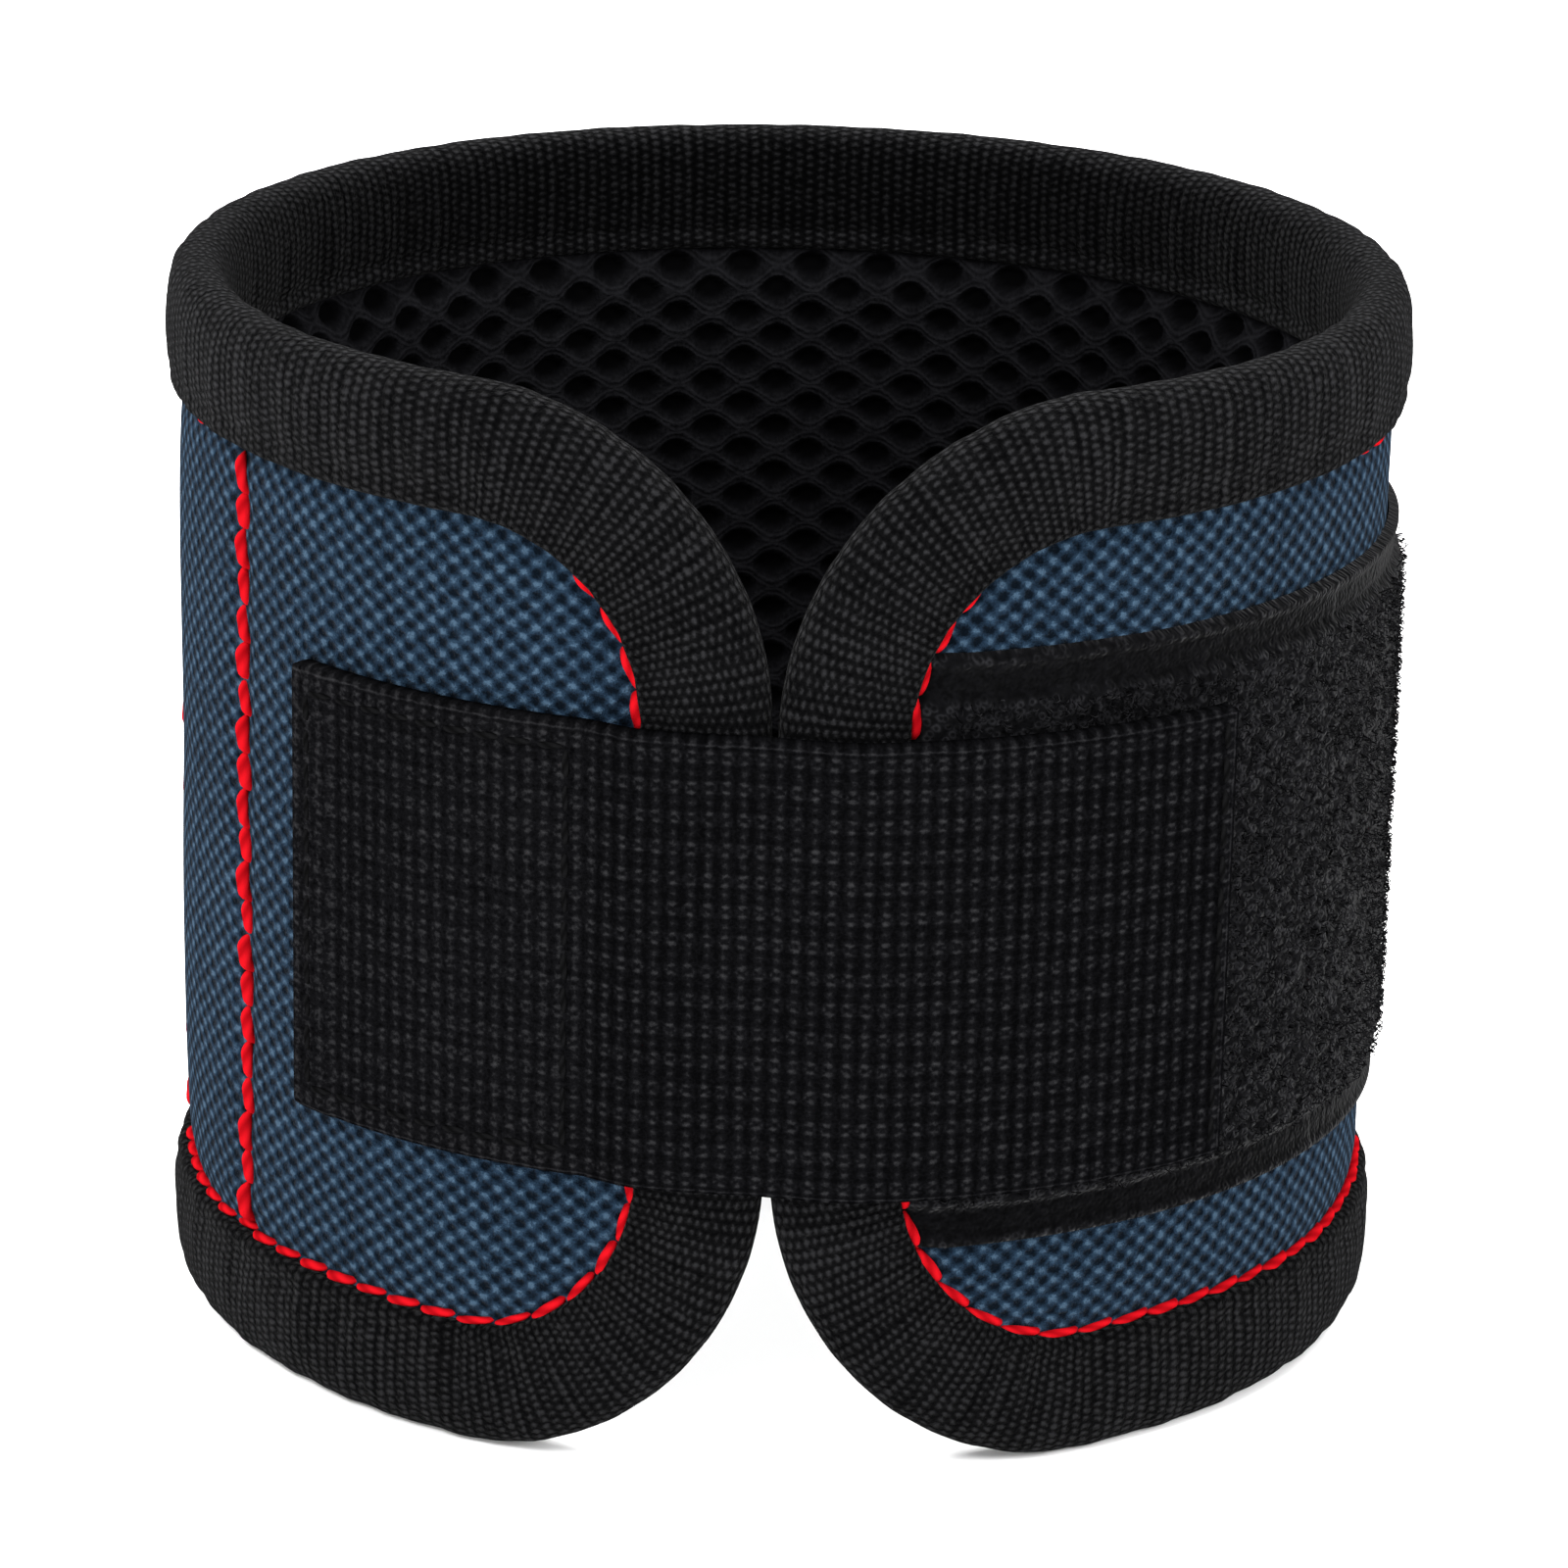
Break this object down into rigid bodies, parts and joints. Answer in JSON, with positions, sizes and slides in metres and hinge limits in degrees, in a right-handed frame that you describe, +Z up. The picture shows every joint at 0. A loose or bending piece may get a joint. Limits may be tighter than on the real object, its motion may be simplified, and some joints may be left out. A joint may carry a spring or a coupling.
{
  "type": "magnetic wristband",
  "caption": "Padded cloth wristband closed into a ring, with sewn-in magnets that hold small metal parts, a loop pad and a strap with hook tape to fasten it.",
  "frame": {"origin": "on the floor, under the middle of the closed band's bounding box", "axes": "+X to the wearer-side right, along the ring's longer width; -Y to the front, where the two rounded ends meet under the strap; +Z up, across the band's width"},
  "size_m": [0.1044, 0.1026, 0.09],
  "materials": {
    "shell": "woven, matt",
    "binding": "ribbed tape, matt",
    "lining": "open spacer mesh",
    "loop_pad": "fuzzy loop pile",
    "webbing": "woven webbing",
    "hook": "stiff hooks",
    "thread": "thick sewing thread",
    "magnet": "nickel plate"
  },
  "bodies": {
    "loop_end": {"shell_1": "shell", "lining_1": "lining", "binding_loop_end": "binding", "loop_pad_1": "loop_pad"},
    "loop_2": {"shell_2": "shell", "lining_2": "lining", "binding_top_2": "binding", "binding_bottom_2": "binding", "loop_pad_2": "loop_pad"},
    "loop_3": {"shell_3": "shell", "lining_3": "lining", "binding_top_3": "binding", "binding_bottom_3": "binding", "loop_pad_3": "loop_pad"},
    "loop_4": {"shell_4": "shell", "lining_4": "lining", "binding_top_4": "binding", "binding_bottom_4": "binding", "loop_pad_4": "loop_pad"},
    "back": {"shell_5": "shell", "lining_5": "lining", "binding_top_5": "binding", "binding_bottom_5": "binding", "loop_pad_5": "loop_pad", "stitch_row_1": "thread"},
    "pocket_1": {"shell_6": "shell", "magnet_1_1": "magnet", "magnet_1_2": "magnet", "magnet_1_3": "magnet", "lining_6": "lining", "binding_top_6": "binding", "binding_bottom_6": "binding", "stitch_row_2": "thread"},
    "pocket_2": {"shell_7": "shell", "magnet_2_1": "magnet", "magnet_2_2": "magnet", "magnet_2_3": "magnet", "lining_7": "lining", "binding_top_7": "binding", "binding_bottom_7": "binding", "stitch_row_3": "thread"},
    "pocket_3": {"shell_8": "shell", "magnet_3_1": "magnet", "magnet_3_2": "magnet", "magnet_3_3": "magnet", "lining_8": "lining", "binding_top_8": "binding", "binding_bottom_8": "binding", "stitch_row_4": "thread"},
    "strap_end": {"shell_9": "shell", "lining_9": "lining", "binding_strap_end": "binding", "strap_root": "webbing"},
    "strap_bridge": {"strap_bridge": "webbing"},
    "strap_tail": {"strap_tail": "webbing", "hook_tape": "hook"}
  },
  "joints": [
    {"name": "unwrap", "type": "hinge", "parent": "back", "child": "pocket_1", "pos_m": [-0.02175, 0.04643, 0.045], "axis": [0, 0, -1], "range_deg": [0, 35.44]},
    {"name": "fold_pocket_2", "type": "hinge", "parent": "pocket_1", "child": "pocket_2", "pos_m": [-0.04419, 0.02776, 0.045], "axis": [0, 0, -1], "range_deg": [0, 34.38]},
    {"name": "fold_pocket_3", "type": "hinge", "parent": "pocket_2", "child": "pocket_3", "pos_m": [-0.05215, -0.00006, 0.045], "axis": [0, 0, -1], "range_deg": [0, 37.15]},
    {"name": "fold_strap_end", "type": "hinge", "parent": "pocket_3", "child": "strap_end", "pos_m": [-0.04094, -0.0293, 0.045], "axis": [0, 0, -1], "range_deg": [0, 44.4]},
    {"name": "fold_loop_4", "type": "hinge", "parent": "back", "child": "loop_4", "pos_m": [0.01384, 0.04953, 0.045], "axis": [0, 0, 1], "range_deg": [0, 38.69]},
    {"name": "fold_loop_3", "type": "hinge", "parent": "loop_4", "child": "loop_3", "pos_m": [0.04332, 0.02917, 0.045], "axis": [0, 0, 1], "range_deg": [0, 42.03]},
    {"name": "fold_loop_2", "type": "hinge", "parent": "loop_3", "child": "loop_2", "pos_m": [0.05165, -0.00557, 0.045], "axis": [0, 0, 1], "range_deg": [0, 43.7]},
    {"name": "fold_loop_end", "type": "hinge", "parent": "loop_2", "child": "loop_end", "pos_m": [0.0338, -0.03655, 0.045], "axis": [0, 0, 1], "range_deg": [0, 40.62]},
    {"name": "strap_peel", "type": "hinge", "parent": "strap_end", "child": "strap_bridge", "pos_m": [-0.01372, -0.04696, 0.045], "axis": [0, 0, -1], "range_deg": [0, 150]},
    {"name": "strap_flex", "type": "hinge", "parent": "strap_bridge", "child": "strap_tail", "pos_m": [0.00052, -0.04972, 0.045], "axis": [0, 0, -1], "range_deg": [0, 44.98]}
  ],
  "couplings": [
    {"joint": "fold_pocket_2", "follows": "unwrap", "ratio": 0.9686},
    {"joint": "fold_pocket_3", "follows": "unwrap", "ratio": 1.0468},
    {"joint": "fold_strap_end", "follows": "unwrap", "ratio": 1.2514},
    {"joint": "fold_loop_4", "follows": "unwrap", "ratio": 1.0904},
    {"joint": "fold_loop_3", "follows": "unwrap", "ratio": 1.1846},
    {"joint": "fold_loop_2", "follows": "unwrap", "ratio": 1.2318},
    {"joint": "fold_loop_end", "follows": "unwrap", "ratio": 1.1448},
    {"joint": "strap_flex", "follows": "unwrap", "ratio": 1.2678}
  ]
}
